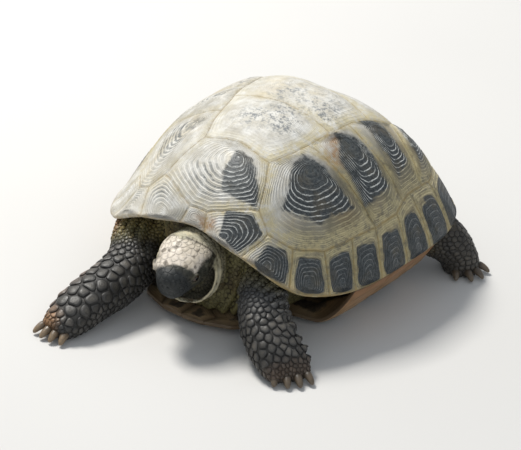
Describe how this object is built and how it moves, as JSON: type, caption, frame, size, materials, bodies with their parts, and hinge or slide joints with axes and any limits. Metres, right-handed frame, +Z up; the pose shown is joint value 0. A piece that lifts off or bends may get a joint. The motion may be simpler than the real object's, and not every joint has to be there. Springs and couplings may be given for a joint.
{
  "type": "steppe tortoise",
  "caption": "Life-size steppe tortoise (Testudo horsfieldii), walking, with its head half out and one forefoot stretched forward.",
  "frame": {"origin": "on the floor, under the middle of the whole animal's box", "axes": "the head points along -Y, the animal's left side is +X, up is +Z, and the soles stand on z = 0"},
  "size_m": [0.2212, 0.275, 0.1137],
  "materials": {
    "carapace_horn": "satin horn, cream to tan with slate-black blotches and fine growth rings",
    "plastron_horn": "satin horn, tan-ochre with dark blotches",
    "body_skin": "soft folded skin with fine granules",
    "head_skin": "small smooth scales, cream above and dark slate on snout and cheeks",
    "leg_skin": "large raised satin scales, grey-brown",
    "claw_horn": "smooth worn horn",
    "eye": "wet, glossy, dark brown to black"
  },
  "bodies": {
    "root": {"abdominal_left": "plastron_horn", "abdominal_right": "plastron_horn", "anal_left": "plastron_horn", "anal_right": "plastron_horn", "costal_left_1": "carapace_horn", "costal_left_2": "carapace_horn", "costal_left_3": "carapace_horn", "costal_left_4": "carapace_horn", "costal_right_1": "carapace_horn", "costal_right_2": "carapace_horn", "costal_right_3": "carapace_horn", "costal_right_4": "carapace_horn", "eye_left": "eye", "eye_right": "eye", "femoral_left": "plastron_horn", "femoral_right": "plastron_horn", "foreleg_left": "leg_skin", "foreleg_right": "leg_skin", "gular_left": "plastron_horn", "gular_right": "plastron_horn", "head": "head_skin", "hindleg_left": "leg_skin", "hindleg_right": "leg_skin", "humeral_left": "plastron_horn", "humeral_right": "plastron_horn", "marginal_left_1": "carapace_horn", "marginal_left_10": "carapace_horn", "marginal_left_11": "carapace_horn", "marginal_left_2": "carapace_horn", "marginal_left_3": "carapace_horn", "marginal_left_4": "carapace_horn", "marginal_left_5": "carapace_horn", "marginal_left_6": "carapace_horn", "marginal_left_7": "carapace_horn", "marginal_left_8": "carapace_horn", "marginal_left_9": "carapace_horn", "marginal_right_1": "carapace_horn", "marginal_right_10": "carapace_horn", "marginal_right_11": "carapace_horn", "marginal_right_2": "carapace_horn", "marginal_right_3": "carapace_horn", "marginal_right_4": "carapace_horn", "marginal_right_5": "carapace_horn", "marginal_right_6": "carapace_horn", "marginal_right_7": "carapace_horn", "marginal_right_8": "carapace_horn", "marginal_right_9": "carapace_horn", "neck": "body_skin", "nuchal": "carapace_horn", "pectoral_left": "plastron_horn", "pectoral_right": "plastron_horn", "supracaudal": "carapace_horn", "tail": "body_skin", "trunk": "body_skin", "vertebral_1": "carapace_horn", "vertebral_2": "carapace_horn", "vertebral_3": "carapace_horn", "vertebral_4": "carapace_horn", "vertebral_5": "carapace_horn"}
  },
  "joints": []
}
